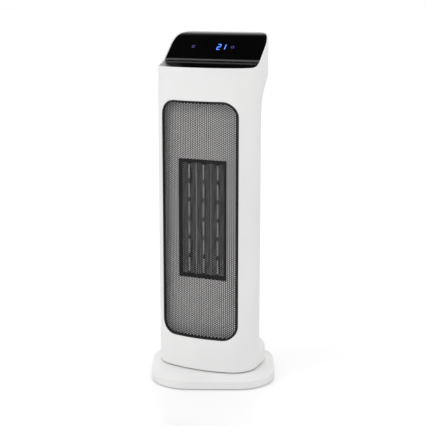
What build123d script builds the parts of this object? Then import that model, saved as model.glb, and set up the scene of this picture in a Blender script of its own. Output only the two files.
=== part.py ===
from build123d import *
from math import acos, cos, pi, radians, sin, sqrt, tan
import os

# Tower heater: a slim ceramic fan heater that swings on a flat base.
# Millimetres, +Z up, origin on the swivel axis at the floor, tower front towards -Y.
# The base is turned under the tower by rest_turn, so the tower stands partly swung.

# Overall sizes
total_height = 600.0
tower_width = 180.0
rest_turn = 23.0
wall = 2.5
seat_gap = 0.3
running_gap = 0.05
edge_radius = 0.8

# Tower plan: the front stands front_reach ahead of the swivel axis, and depths run back from it
front_reach = 69.0
front_radius = 220.0
front_corner = 44.0
parting_depth = 49.0
column_depth = 113.0
column_corner = 60.0
head_depth = 132.0
head_corner = 46.0
foot_depth = 129.0
foot_corner = 46.0

# Tower heights: the head is measured down from the top
tower_gap = 2.0
foot_height = 35.0
foot_shoulder = 12.0
flare_drop = 135.0
flare_radius = 110.0
flare_crest_radius = 25.0
flare_steps = 8

# Sloped top
slope_rise = 55.0
slope_setback = 33.0
slope_angle = 43.0
slope_foot_radius = 45.0
slope_crest_radius = 40.0

# Base
base_width = 217.0
base_depth = 192.0
base_bow = 3.0
base_corner = 66.0
base_bottom = 2.0
base_edge = 14.5
base_top = 23.0
base_shoulder = 14.0
base_crown = 24.0
base_plate_thickness = 2.5
base_opening_radius = 48.0
foot_pad_radius = 8.0
foot_pad_side = 38.5
foot_pad_end = 44.0
base_boss_radius = 4.5
base_boss_side = 26.5
base_boss_end = 66.0

# Swivel
post_radius = 16.0
post_bore = 12.0
bearing_wall = 4.0
bearing_headroom = 5.5
cup_radius = 22.0
cup_wall = 2.5
retainer_thickness = 2.7
retainer_radius = 21.0
retainer_groove = 1.5
retainer_depth = 1.2
retainer_mouth = 16.0
post_tip = 0.8
slide_ring_inner = 50.0
slide_ring_outer = 57.0
floor_thickness = 3.0
floor_lift = 0.5

# Oscillation drive
gear_module = 1.25
ring_teeth = 48
pinion_teeth = 12
gear_pressure_angle = 25.0
gear_addendum = 0.8
gear_dedendum = 1.1
gear_backlash = 0.25
gear_thickness = 6.0
swing_motor_radius = 14.0
swing_motor_height = 19.0
swing_motor_edge = 1.5
swing_flange_reach = 7.0
swing_flange_width = 7.0
swing_flange_thickness = 2.0
swing_shaft_radius = 2.5
swing_shaft_room = 1.5
swing_shaft_depth = 11.0

# Tip-over switch
plunger_inset = 26.0
plunger_radius = 3.0
plunger_travel = 5.0
plunger_collar = 5.0
plunger_collar_thickness = 1.5
plunger_guide = 2.0
plunger_floor_gap = 0.2
tip_switch_length = 20.0
tip_switch_width = 10.0
tip_switch_corner = 1.0

# Outlet grille
grille_side = 20.0
grille_bottom = 81.0
grille_drop = 110.0
grille_corner = 26.0
grille_border = 2.4
grille_border_depth = 5.0
grille_sheet = 1.0
grille_recess = 0.8
grille_hole = 8.0
grille_pitch = 16.0

# Inner panel and ceramic heating element
panel_setback = 23.0
panel_thickness = 2.5
panel_below = 19.0
panel_headroom = 6.0
window_width = 90.0
window_height = 208.0
element_depth = 22.0
element_rim = 5.0
element_side = 5.1
element_end = 6.0
strip_count = 3
stone_count = 6
stone_thickness = 3.0
stone_gap = 6.0
electrode_thickness = 0.4
divider_thickness = 1.4
fin_depth = 18.0
fin_wall = 0.5
fin_pitch = 4.0
terminal_width = 6.3
terminal_length = 4.0
terminal_thickness = 0.8
cutout_x = 26.0
cutout_radius = 8.0
cutout_height = 9.0
cutout_edge = 1.5

# Blower: the wheel takes the depth between the element and the rear cover
fan_front_room = 4.5
fan_rear_room = 9.0
fan_blade = 7.0
fan_blade_thickness = 1.0
fan_blade_angle = 35.0
fan_blades = 20
fan_sections = 3
fan_end_inset = 3.0
fan_disc = 2.0
fan_end_gap = 4.0
fan_hub_radius = 7.0
fan_hub_length = 14.0
fan_shaft_radius = 2.5
fan_stub_radius = 3.0
scroll_gap = 6.0
scroll_wall = 2.0
scroll_half_width = 48.0
scroll_end = 4.0
scroll_rear_gap = 6.0
scroll_lip = 8.0
bush_radius = 8.0
bush_flange = 3.0
motor_overhang = 1.0
motor_height = 50.0
motor_edge = 4.0
motor_bore_depth = 24.0
bracket_height = 8.0
bracket_width = 62.0
bracket_trim = 4.0
bracket_corner = 5.0

# Boards
board_thickness = 1.6
power_board_x = -60.0
power_board_depth = 44.0
power_board_height = 90.0
power_board_gap = 2.5
relay_count = 3
relay_length = 19.0
relay_height = 15.0
relay_width = 15.0
relay_corner = 0.8

# Control panel and hand recess
panel_sink = 1.0
panel_skin = 4.0
panel_ledge = 0.4
lip_depth = 62.0
lip_radius = 1.4
recess_depth = 21.0
recess_reach = 45.0
recess_end = 7.0
recess_skin = 2.0
control_board_width = 124.0
control_board_length = 34.0
control_board_corner = 3.0
display_x = 10.0
display_width = 34.0
display_length = 20.0
display_height = 6.0

# Rear filter cover
filter_width = 56.0
filter_height = 300.0
filter_corner = 8.0
filter_gap = 0.4
filter_ledge = 4.0
filter_slot = 4.0
filter_slot_pitch = 9.0
filter_margin = 6.0
filter_mesh_thickness = 1.5

# Mains switch and cord gland
switch_x = 26.0
switch_lift = 12.0
switch_width = 21.0
switch_height = 15.0
switch_bezel = 1.6
switch_corner = 1.5
switch_body_width = 19.0
switch_body_height = 13.0
switch_depth = 16.0
rocker_width = 14.0
rocker_height = 9.0
rocker_room = 1.0
rocker_tilt = 8.0
rocker_pin = 1.4
rocker_side = 0.5
rocker_crest = 3.2
rocker_dip = 2.0
rocker_stem = 2.5
rocker_reach = 6.0
gland_x = -26.0
gland_radius = 6.0
gland_flange = 8.0
gland_bore = 3.7
gland_flange_thickness = 2.0
gland_length = 12.0

# Screws
screw_radius = 1.5
screw_head_radius = 3.0
screw_head = 1.8
screw_length = 12.0
well_radius = 3.6
well_wall = 1.9
well_floor = 5.0
well_side = 20.0
well_lift = 83.0
well_drop = 144.0
floor_boss_radius = 5.0
floor_boss_length = 16.0
front_screw_side = 10.0
front_screw_depth = 35.0
rear_screw_side = 7.0
rear_screw_depth = 89.0

# Depths worked out from the sizes above
parting_y = parting_depth - front_reach
column_rear = column_depth - front_reach
head_rear = head_depth - front_reach
foot_rear = foot_depth - front_reach
slope_start = slope_setback - front_reach
lip_y = lip_depth - front_reach
panel_y = panel_setback - front_reach
panel_back = panel_y + panel_thickness
element_back = panel_back + element_depth
fan_radius = (column_rear - fan_rear_room - element_back - fan_front_room) / 2
fan_y = element_back + fan_front_room + fan_radius
scroll_radius = fan_radius + scroll_gap
scroll_rear = column_rear - scroll_rear_gap
motor_radius = fan_radius + motor_overhang

# Heights worked out from the sizes above
tower_bottom = base_top + tower_gap
floor_bottom = tower_bottom + floor_lift
floor_top = floor_bottom + floor_thickness
plate_top = base_bottom + base_plate_thickness
cup_ceiling = base_bottom + retainer_depth + retainer_thickness + seat_gap
cup_top = cup_ceiling + base_plate_thickness
retainer_bottom = cup_ceiling - seat_gap - retainer_thickness
bearing_top = floor_bottom - bearing_headroom
gear_bottom = cup_top
switch_z = tower_bottom + switch_lift
rim_height = total_height - slope_rise
recess_floor = rim_height - recess_depth
flare_start = total_height - flare_drop
flare_turn = acos(1 - (head_rear - column_rear) / (flare_radius + flare_crest_radius))
flare_top = flare_start + (flare_radius + flare_crest_radius) * sin(flare_turn)
flare_bend = flare_start + flare_radius * sin(flare_turn)
grille_top = total_height - grille_drop
grille_height = grille_top - grille_bottom
grille_centre = (grille_top + grille_bottom) / 2
panel_bottom = grille_bottom - panel_below
panel_top = recess_floor - recess_skin - panel_headroom
window_centre = grille_centre
frame_height = window_height + 2 * element_rim
frame_top = window_centre + frame_height / 2
fin_height = window_height - 2 * element_end
fan_length = window_height - 2 * fan_end_inset
fan_bottom = window_centre - fan_length / 2
fan_top = window_centre + fan_length / 2
scroll_bottom = fan_bottom - fan_end_gap
scroll_top = fan_top + fan_end_gap
motor_top = scroll_bottom - scroll_end - bracket_height
power_board_bottom = scroll_bottom - scroll_end - power_board_gap - power_board_height
filter_centre = window_centre
well_heights = (tower_bottom + well_lift, total_height - well_drop)

# Widths and places worked out from the sizes above
bearing_radius = post_radius + running_gap
gear_reach = gear_module * (ring_teeth + pinion_teeth) / 2
grille_width = tower_width - 2 * grille_side
frame_width = window_width + 2 * element_rim
element_width = window_width - 2 * element_side
strip_pitch = element_width / strip_count
well_x = tower_width / 2 - well_side
foot_pad_x = base_width / 2 - foot_pad_side
foot_pad_y = base_depth / 2 - foot_pad_end
base_boss_x = base_width / 2 - base_boss_side
base_boss_y = base_depth / 2 - base_boss_end
plunger_place = (0, plunger_inset - base_depth / 2)
base_turn = radians(rest_turn)
base_plane = Plane(origin=(0, 0, 0), x_dir=(cos(base_turn), sin(base_turn), 0), z_dir=(0, 0, 1))
slope_turn = 1 - cos(radians(slope_angle))
slope_arcs = (slope_foot_radius + slope_crest_radius) * slope_turn
slope_run = (slope_rise - slope_arcs) / tan(radians(slope_angle))


def plan(height, rear, rear_corner, inset=0.0):
    """Tower plan: a bowed front, straight sides and a rounded rear, drawn at one height."""
    half = tower_width / 2 - inset
    reach = front_reach - inset
    radius = front_radius - inset
    side_y = radius - reach - sqrt(radius**2 - half**2)
    with BuildSketch(Plane.XY.offset(height)) as outline:
        with BuildLine():
            ThreePointArc((-half, side_y), (0, -reach), (half, side_y))
            Polyline((half, side_y), (half, rear - inset), (-half, rear - inset), (-half, side_y))
        make_face()
        fillet(outline.vertices().group_by(Axis.Y)[0], front_corner - inset)
        fillet(outline.vertices().group_by(Axis.Y)[-1], rear_corner - inset)
    return outline.sketch


def rear_plan(height, rear, corner, inset):
    """Rear half of the plan, from the parting plane back."""
    half = tower_width / 2 - inset
    with BuildSketch(Plane.XY.offset(height)) as outline:
        with BuildLine():
            corners = ((-half, parting_y), (half, parting_y), (half, rear - inset), (-half, rear - inset))
            Polyline(*corners, close=True)
        make_face()
        fillet(outline.vertices().group_by(Axis.Y)[-1], corner - inset)
    return outline.sketch


def flare_rear(height):
    """Rear face of the tower above the foot: a hollow sweep that rolls over into the head."""
    if height <= flare_start:
        return column_rear
    if height >= flare_top:
        return head_rear
    if height <= flare_bend:
        climb = height - flare_start
        return column_rear + flare_radius - sqrt(flare_radius**2 - climb**2)
    climb = flare_top - height
    return head_rear - flare_crest_radius + sqrt(flare_crest_radius**2 - climb**2)


def flare_corner(rear):
    """Rear corner radius that goes with one rear face of the flare."""
    swell = (rear - column_rear) / (head_rear - column_rear)
    return column_corner + (head_corner - column_corner) * swell


def rear_mass(inset):
    """Rear of the tower: a round-shouldered foot, a slim column and a head that flares out."""
    with BuildPart() as mass:
        extrude(rear_plan(tower_bottom, foot_rear, foot_corner, inset), amount=foot_height - inset)
        top_edges = mass.faces().sort_by(Axis.Z)[-1].edges()
        fillet(top_edges.sort_by(Axis.Y)[1:], foot_shoulder - inset)
        column = rear_plan(tower_bottom, column_rear, column_corner, inset)
        extrude(column, amount=flare_start - tower_bottom)
        flare = []
        for step in range(flare_steps + 1):
            height = flare_start + (flare_top - flare_start) * step / flare_steps
            rear = flare_rear(height)
            flare.append(rear_plan(height, rear, flare_corner(rear), inset))
        loft(flare)
        extrude(rear_plan(flare_top, head_rear, head_corner, inset), amount=total_height - flare_top)
    return mass.part


def slope_line(drop):
    """Side view of the sloped top: level front, rising sweep and level crest, lowered by drop."""
    turn = radians(slope_angle)
    low = rim_height - drop
    foot_end = (slope_start + slope_foot_radius * sin(turn), low + slope_foot_radius * slope_turn)
    crest_start = (foot_end[0] + slope_run, foot_end[1] + slope_run * tan(turn))
    crest_end = (crest_start[0] + slope_crest_radius * sin(turn), total_height - drop)
    Line((-2 * front_reach, low), (slope_start, low))
    foot_mid = (
        slope_start + slope_foot_radius * sin(turn / 2),
        low + slope_foot_radius * (1 - cos(turn / 2)),
    )
    ThreePointArc((slope_start, low), foot_mid, foot_end)
    Line(foot_end, crest_start)
    crest_mid = (
        crest_end[0] - slope_crest_radius * sin(turn / 2),
        crest_end[1] - slope_crest_radius * (1 - cos(turn / 2)),
    )
    ThreePointArc(crest_start, crest_mid, crest_end)
    Line(crest_end, (2 * head_rear, total_height - drop))


def above_slope(drop):
    """Everything above the sloped top, as a sketch in the side view."""
    ceiling = total_height + 2 * wall
    with BuildSketch(Plane.YZ) as region:
        with BuildLine():
            slope_line(drop)
            Polyline(
                (2 * head_rear, total_height - drop),
                (2 * head_rear, ceiling),
                (-2 * front_reach, ceiling),
                (-2 * front_reach, rim_height - drop),
            )
        make_face()
    return region.sketch


def slope_height(y):
    """Height of the sloped rim at one depth."""
    turn = radians(slope_angle)
    foot_end = slope_start + slope_foot_radius * sin(turn)
    crest_start = foot_end + slope_run
    crest_end = crest_start + slope_crest_radius * sin(turn)
    if y < slope_start:
        return rim_height
    if y < foot_end:
        return rim_height + slope_foot_radius - sqrt(slope_foot_radius**2 - (y - slope_start) ** 2)
    if y < crest_start:
        return rim_height + slope_foot_radius * slope_turn + (y - foot_end) * tan(turn)
    if y < crest_end:
        return total_height - slope_crest_radius + sqrt(slope_crest_radius**2 - (crest_end - y) ** 2)
    return total_height


def lies_on_parting(edge):
    """True for an edge in the joint between the two shells."""
    box = edge.bounding_box()
    return box.max.Y - parting_y < running_gap and parting_y - box.min.Y < running_gap


def on_rim(edge):
    """True for an edge along the sloped rim of the head."""
    along = [edge.position_at(share) for share in (0.1, 0.5, 0.9)]
    level = all(abs(point.Z - slope_height(point.Y)) < running_gap for point in along)
    return level and not lies_on_parting(edge)


def on_outlet(edge):
    """True for an edge where the outlet opening breaks through the outside of the front."""
    half = tower_width / 2 - grille_side / 2
    points = [edge.position_at(share) for share in (0.1, 0.5, 0.9)]
    inside = all(abs(p.X) < half and grille_bottom / 2 < p.Z < rim_height - wall for p in points)
    return inside and all(front_gap(p) < running_gap for p in points)


def front_gap(point):
    """Distance of a point behind the outside of the bowed front."""
    centre = front_radius - front_reach
    corner_x = tower_width / 2 - front_corner
    corner_y = centre - sqrt((front_radius - front_corner) ** 2 - corner_x**2)
    if abs(point.X) * (centre - corner_y) < corner_x * (centre - point.Y):
        return front_radius - sqrt(point.X**2 + (centre - point.Y) ** 2)
    return front_corner - sqrt((abs(point.X) - corner_x) ** 2 + (point.Y - corner_y) ** 2)


def on_skirt(edge):
    """True for an edge around the bottom of the tower, on its outside."""
    box = edge.bounding_box()
    low = box.max.Z - tower_bottom < running_gap
    return low and not lies_on_parting(edge)


def base_outline(height, inset=0.0):
    """Base plan: a soft square with bowed sides, turned under the tower."""
    half_x = base_width / 2 - inset
    half_y = base_depth / 2 - inset
    side_x = half_x - base_bow
    side_y = half_y - base_bow
    with BuildSketch(base_plane.offset(height)) as outline:
        with BuildLine():
            ThreePointArc((-side_x, -side_y), (0, -half_y), (side_x, -side_y))
            ThreePointArc((side_x, -side_y), (half_x, 0), (side_x, side_y))
            ThreePointArc((side_x, side_y), (0, half_y), (-side_x, side_y))
            ThreePointArc((-side_x, side_y), (-half_x, 0), (-side_x, -side_y))
        make_face()
        fillet(outline.vertices(), base_corner - inset)
    return outline.sketch


def gear_face(plane, teeth, phase):
    """Spur gear face with involute flanks; a tooth stands at the phase angle, in degrees."""
    pitch = gear_module * teeth / 2
    tip = pitch + gear_addendum * gear_module
    root = pitch - gear_dedendum * gear_module
    base_circle = pitch * cos(radians(gear_pressure_angle))
    flank_start = max(root, base_circle)

    def involute(radius):
        angle = acos(min(1.0, base_circle / radius))
        return tan(angle) - angle

    half_tooth = pi / (2 * teeth) - gear_backlash / (4 * pitch) + involute(pitch)
    radii = sorted({root, flank_start, (flank_start + tip) / 2, tip})
    points = []
    for tooth in range(teeth):
        middle = radians(phase) + 2 * pi * tooth / teeth
        for side, ordered in ((-1, radii), (1, radii[::-1])):
            for radius in ordered:
                angle = middle + side * (half_tooth - involute(max(radius, flank_start)))
                points.append((radius * cos(angle), radius * sin(angle)))
    with BuildSketch(plane) as face:
        with BuildLine():
            Polyline(*points, close=True)
        make_face()
    return face.sketch


def screw(length):
    """Pan-head screw under the current location, head at the origin, shank along +Z."""
    Cylinder(screw_head_radius, screw_head, align=(Align.CENTER, Align.CENTER, Align.MAX))
    Cylinder(screw_radius, length, align=(Align.CENTER, Align.CENTER, Align.MIN))


parts = []


def keep(builder, name):
    """Label a finished piece and put it on the list that is written out."""
    builder.part.label = name
    parts.append(builder.part)


# Base shell: low moulded dome with a crisp side edge, open in the middle for the swivel
with BuildPart() as base_shell:
    extrude(base_outline(base_bottom), amount=base_top - base_bottom)
    top_face = base_shell.faces().sort_by(Axis.Z)[-1]
    chamfer(top_face.edges(), base_shoulder, base_top - base_edge, reference=top_face)
    fillet(base_shell.faces().sort_by(Axis.Z)[-1].edges(), base_crown)
    cavity_step = base_edge - wall / 2
    extrude(base_outline(base_bottom, wall), amount=cavity_step - base_bottom, mode=Mode.SUBTRACT)
    dome_cavity = base_outline(cavity_step, wall + base_shoulder)
    extrude(dome_cavity, amount=base_top - wall - cavity_step, mode=Mode.SUBTRACT)
    with BuildSketch(Plane.XY.offset(base_bottom)):
        Circle(base_opening_radius)
    extrude(amount=base_top, mode=Mode.SUBTRACT)
    with BuildSketch(base_plane.offset(plate_top)):
        with GridLocations(2 * base_boss_x, 2 * base_boss_y, 2, 2):
            Circle(base_boss_radius)
            Circle(screw_radius, mode=Mode.SUBTRACT)
    extrude(amount=base_top - wall - plate_top)
keep(base_shell, "base_shell")

# Base plate: floor of the base, with the swivel bearing tube and the tip-over plunger guide
with BuildPart() as base_plate:
    extrude(base_outline(base_bottom, wall + seat_gap), amount=base_plate_thickness)
    with BuildSketch(Plane.XY.offset(base_bottom)):
        Circle(cup_radius + cup_wall)
    extrude(amount=cup_top - base_bottom)
    with BuildSketch(Plane.XY.offset(cup_top)):
        Circle(bearing_radius + bearing_wall)
    extrude(amount=bearing_top - cup_top)
    with BuildSketch(Plane.XY.offset(base_bottom)):
        Circle(cup_radius)
    extrude(amount=cup_ceiling - base_bottom, mode=Mode.SUBTRACT)
    with BuildSketch(base_plane.offset(plate_top)):
        with Locations(plunger_place):
            Circle(plunger_collar)
    extrude(amount=plunger_guide)
    with BuildSketch(base_plane.offset(base_bottom)):
        with Locations(plunger_place):
            Circle(plunger_radius + running_gap)
        with GridLocations(2 * base_boss_x, 2 * base_boss_y, 2, 2):
            Circle(screw_radius + seat_gap)
        Circle(bearing_radius)
    extrude(amount=bearing_top, mode=Mode.SUBTRACT)
    with BuildSketch(base_plane.offset(base_bottom)):
        with GridLocations(2 * base_boss_x, 2 * base_boss_y, 2, 2):
            Circle(screw_head_radius + seat_gap)
    extrude(amount=screw_head, mode=Mode.SUBTRACT)
keep(base_plate, "base_plate")

# Rubber pads stuck under the base plate
with BuildPart() as base_feet:
    with BuildSketch(base_plane):
        with GridLocations(2 * foot_pad_x, 2 * foot_pad_y, 2, 2):
            Circle(foot_pad_radius)
    extrude(amount=base_bottom)
keep(base_feet, "base_feet")

# Screws that hold the base plate to the bosses of the base shell
with BuildPart() as base_screws:
    with Locations(base_plane.offset(base_bottom + screw_head)):
        with GridLocations(2 * base_boss_x, 2 * base_boss_y, 2, 2):
            screw(screw_length)
keep(base_screws, "base_screws")

# Fixed gear ring on the bearing tube, which the swing pinion walks around
with BuildPart() as gear_ring:
    extrude(gear_face(Plane.XY.offset(gear_bottom), ring_teeth, 0), amount=gear_thickness)
    with BuildSketch(Plane.XY.offset(gear_bottom)):
        Circle(bearing_radius + bearing_wall + running_gap)
    extrude(amount=gear_thickness, mode=Mode.SUBTRACT)
keep(gear_ring, "gear_ring")

# Slippery ring on the base shell that carries the tower's weight
with BuildPart() as slide_ring:
    with BuildSketch(Plane.XY.offset(base_top)):
        Circle(slide_ring_outer)
        Circle(slide_ring_inner, mode=Mode.SUBTRACT)
    extrude(amount=floor_bottom - base_top - running_gap)
keep(slide_ring, "slide_ring")

# Tip-over plunger, held up by the floor while the heater stands
plunger_collar_bottom = plate_top + plunger_guide + plunger_travel + seat_gap
plunger_top = plunger_collar_bottom + plunger_collar_thickness
with BuildPart() as tip_plunger:
    with BuildSketch(base_plane.offset(plunger_floor_gap)):
        with Locations(plunger_place):
            Circle(plunger_radius)
    extrude(amount=plunger_top - plunger_floor_gap)
    with BuildSketch(base_plane.offset(plunger_collar_bottom)):
        with Locations(plunger_place):
            Circle(plunger_collar)
    extrude(amount=plunger_top - plunger_collar_bottom)
keep(tip_plunger, "tip_plunger")

# Microswitch over the plunger, under the top of the base shell
with BuildPart() as tip_switch:
    with BuildSketch(base_plane.offset(plunger_top + seat_gap)):
        with Locations(plunger_place):
            Rectangle(tip_switch_length, tip_switch_width)
    extrude(amount=base_top - wall - plunger_top - seat_gap)
    fillet(tip_switch.edges().filter_by(Axis.Z), tip_switch_corner)
keep(tip_switch, "tip_switch")

# Tower floor with the hollow swivel post that turns in the base
swing_motor_place = (gear_reach, 0)
floor_screw_places = [
    (side * (tower_width / 2 - inset), depth - front_reach)
    for inset, depth in ((front_screw_side, front_screw_depth), (rear_screw_side, rear_screw_depth))
    for side in (-1, 1)
]
with BuildPart() as tower_floor:
    extrude(plan(floor_bottom, foot_rear, foot_corner, wall + seat_gap), amount=floor_thickness)
    post_bottom = retainer_bottom - post_tip
    with BuildSketch(Plane.XY.offset(post_bottom)):
        Circle(post_radius)
    extrude(amount=floor_bottom - post_bottom)
    with BuildSketch(Plane.XY.offset(retainer_bottom)):
        Circle(bearing_radius)
        Circle(post_radius - retainer_groove, mode=Mode.SUBTRACT)
    extrude(amount=retainer_thickness, mode=Mode.SUBTRACT)
    with BuildSketch(Plane.XY.offset(post_bottom)):
        Circle(post_bore)
        with Locations(swing_motor_place):
            Circle(swing_shaft_radius + swing_shaft_room)
        with Locations(*floor_screw_places):
            Circle(screw_radius + seat_gap)
    extrude(amount=floor_top, mode=Mode.SUBTRACT)
    with BuildSketch(Plane.XY.offset(floor_bottom)):
        with Locations(*floor_screw_places):
            Circle(screw_head_radius + seat_gap)
    extrude(amount=screw_head, mode=Mode.SUBTRACT)
keep(tower_floor, "tower_floor")

# Spring ring in the groove of the post, under the base plate
with BuildPart() as swivel_retainer:
    with BuildSketch(Plane.XY.offset(retainer_bottom + running_gap)):
        Circle(retainer_radius)
        Circle(post_radius - retainer_groove + running_gap, mode=Mode.SUBTRACT)
        with Locations((0, -retainer_radius)):
            Rectangle(retainer_mouth, 2 * retainer_radius - post_radius, mode=Mode.SUBTRACT)
    extrude(amount=retainer_thickness - 2 * running_gap)
keep(swivel_retainer, "swivel_retainer")

# Screws through the tower floor into the shells
with BuildPart() as floor_screws:
    with Locations(Plane.XY.offset(floor_bottom + screw_head)):
        with Locations(*floor_screw_places):
            screw(screw_length)
keep(floor_screws, "floor_screws")

# Swing motor standing on the tower floor, with its pinion below
with BuildPart() as swing_motor:
    with BuildSketch(Plane.XY.offset(floor_top)):
        with Locations(swing_motor_place):
            Circle(swing_motor_radius)
            Rectangle(2 * (swing_motor_radius + swing_flange_reach), swing_flange_width)
    extrude(amount=swing_flange_thickness)
    with BuildSketch(Plane.XY.offset(floor_top)):
        with Locations(swing_motor_place):
            Circle(swing_motor_radius)
    extrude(amount=swing_motor_height)
    with BuildSketch(Plane.XY.offset(floor_top)):
        with Locations(swing_motor_place):
            Circle(swing_shaft_radius + running_gap)
    extrude(amount=swing_shaft_depth + seat_gap, mode=Mode.SUBTRACT)
    fillet(swing_motor.faces().sort_by(Axis.Z)[-1].edges(), swing_motor_edge)
keep(swing_motor, "swing_motor")

pinion_plane = Plane(origin=(gear_reach, 0, gear_bottom + seat_gap))
with BuildPart() as swing_pinion:
    extrude(gear_face(pinion_plane, pinion_teeth, 180 + 180 / pinion_teeth), amount=gear_thickness)
    with BuildSketch(pinion_plane):
        Circle(swing_shaft_radius)
    extrude(amount=floor_top + swing_shaft_depth - gear_bottom - seat_gap)
keep(swing_pinion, "swing_pinion")

# Front shell: bowed front and sides, with the outlet opening and the inner seats
with BuildPart() as front_seats:
    with BuildSketch(Plane.XZ.offset(-parting_y)):
        for height in well_heights:
            with Locations((-well_x, height), (well_x, height)):
                Circle(well_radius + well_wall)
            for side in (-1, 1):
                with Locations((side * (well_x + well_side / 2), height)):
                    Rectangle(well_side, 2 * wall)
    extrude(amount=parting_y - panel_back - seat_gap)
    extrude(plan(0, column_rear, column_corner, wall / 2), amount=total_height, mode=Mode.INTERSECT)
with BuildPart() as front_shell:
    tower_height = total_height - tower_bottom
    extrude(plan(tower_bottom, column_rear, column_corner), amount=tower_height)
    extrude(plan(tower_bottom, column_rear, column_corner, wall), amount=tower_height, mode=Mode.SUBTRACT)
    with BuildSketch(Plane.XZ.offset(-parting_y)):
        with Locations((0, total_height / 2)):
            Rectangle(2 * tower_width, 2 * total_height)
    extrude(amount=-2 * tower_width, mode=Mode.SUBTRACT)
    with BuildSketch(Plane.XZ.offset(-panel_y)):
        with Locations((0, grille_centre)):
            RectangleRounded(grille_width, grille_height, grille_corner)
    extrude(amount=front_reach, mode=Mode.SUBTRACT)
    extrude(above_slope(0), amount=tower_width, both=True, mode=Mode.SUBTRACT)
    with BuildSketch(Plane.XY.offset(floor_top)):
        with Locations(*[place for place in floor_screw_places if place[1] < parting_y]):
            Circle(floor_boss_radius)
    extrude(amount=floor_boss_length)
    with BuildSketch(Plane.XY.offset(floor_top)):
        with Locations(*[place for place in floor_screw_places if place[1] < parting_y]):
            Circle(screw_radius)
    extrude(amount=floor_boss_length, mode=Mode.SUBTRACT)
    add(front_seats.part)
    with BuildSketch(Plane.XZ.offset(-parting_y)):
        for height in well_heights:
            with Locations((-well_x, height), (well_x, height)):
                Circle(screw_radius)
    extrude(amount=screw_length, mode=Mode.SUBTRACT)
    fillet(front_shell.edges().filter_by(on_rim), edge_radius)
    fillet(front_shell.edges().filter_by(on_outlet), edge_radius)
    fillet(front_shell.edges().filter_by(on_skirt), edge_radius)
keep(front_shell, "front_shell")

# Rear shell: slim column with a flared head, the filter opening and the screw wells
rear_shape = rear_mass(0)
with BuildPart() as rear_wells:
    with BuildSketch(Plane.XZ.offset(-parting_y)):
        for height in well_heights:
            with Locations((-well_x, height), (well_x, height)):
                Circle(well_radius + well_wall)
    extrude(amount=-2 * head_rear)
    add(rear_shape, mode=Mode.INTERSECT)
with BuildPart() as rear_shell:
    add(rear_shape)
    add(rear_mass(wall), mode=Mode.SUBTRACT)
    add(rear_wells.part)
    for height in well_heights:
        for side in (-1, 1):
            with BuildSketch(Plane.XZ.offset(-parting_y - well_floor)):
                with Locations((side * well_x, height)):
                    Circle(well_radius)
            extrude(amount=-2 * head_rear, mode=Mode.SUBTRACT)
            with BuildSketch(Plane.XZ.offset(-parting_y)):
                with Locations((side * well_x, height)):
                    Circle(screw_radius + seat_gap)
            extrude(amount=-well_floor, mode=Mode.SUBTRACT)
    with BuildSketch(Plane.XZ.offset(-column_rear + wall)):
        with Locations((0, filter_centre)):
            RectangleRounded(filter_width + 2 * wall, filter_height + 2 * wall, filter_corner)
    extrude(amount=wall)
    with BuildSketch(Plane.XZ.offset(-column_rear)):
        with Locations((0, filter_centre)):
            RectangleRounded(filter_width + 2 * filter_gap, filter_height + 2 * filter_gap, filter_corner)
    extrude(amount=wall, mode=Mode.SUBTRACT)
    with BuildSketch(Plane.XZ.offset(-column_rear)):
        with Locations((0, filter_centre)):
            RectangleRounded(
                filter_width - 2 * filter_ledge,
                filter_height - 2 * filter_ledge,
                filter_corner - filter_ledge,
            )
    extrude(amount=3 * wall, mode=Mode.SUBTRACT)
    with BuildSketch(Plane.XZ.offset(-foot_rear)):
        with Locations((switch_x, switch_z)):
            Rectangle(switch_body_width + 2 * seat_gap, switch_body_height + 2 * seat_gap)
        with Locations((gland_x, switch_z)):
            Circle(gland_radius + running_gap)
    extrude(amount=2 * wall, mode=Mode.SUBTRACT)
    extrude(above_slope(0), amount=tower_width, both=True, mode=Mode.SUBTRACT)
    with BuildSketch(Plane.XY.offset(floor_top)):
        with Locations(*[place for place in floor_screw_places if place[1] > parting_y]):
            Circle(floor_boss_radius)
    extrude(amount=floor_boss_length)
    with BuildSketch(Plane.XY.offset(floor_top)):
        with Locations(*[place for place in floor_screw_places if place[1] > parting_y]):
            Circle(screw_radius)
    extrude(amount=floor_boss_length, mode=Mode.SUBTRACT)
    fillet(rear_shell.edges().filter_by(on_rim), edge_radius)
    fillet(rear_shell.edges().filter_by(on_skirt), edge_radius)
keep(rear_shell, "rear_shell")

# Screws in the rear wells that pull the two shells together
with BuildPart() as shell_screws:
    with Locations(Plane.XZ.offset(-parting_y - well_floor)):
        for height in well_heights:
            with Locations((-well_x, height), (well_x, height)):
                screw(screw_length)
keep(shell_screws, "shell_screws")

# Dark trim round the outlet, following the bowed front
trim_width = grille_width - 2 * seat_gap
trim_height = grille_height - 2 * seat_gap
trim_corner = grille_corner - seat_gap
with BuildPart() as grille_frame:
    with BuildSketch(Plane.XZ.offset(-panel_y)):
        with Locations((0, grille_centre)):
            RectangleRounded(trim_width, trim_height, trim_corner)
            RectangleRounded(
                trim_width - 2 * grille_border,
                trim_height - 2 * grille_border,
                trim_corner - grille_border,
                mode=Mode.SUBTRACT,
            )
    extrude(amount=front_reach)
    extrude(plan(0, column_rear, column_corner), amount=total_height, mode=Mode.INTERSECT)
    trim_back = plan(0, column_rear, column_corner, grille_border_depth)
    extrude(trim_back, amount=total_height, mode=Mode.SUBTRACT)
keep(grille_frame, "grille_frame")

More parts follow.
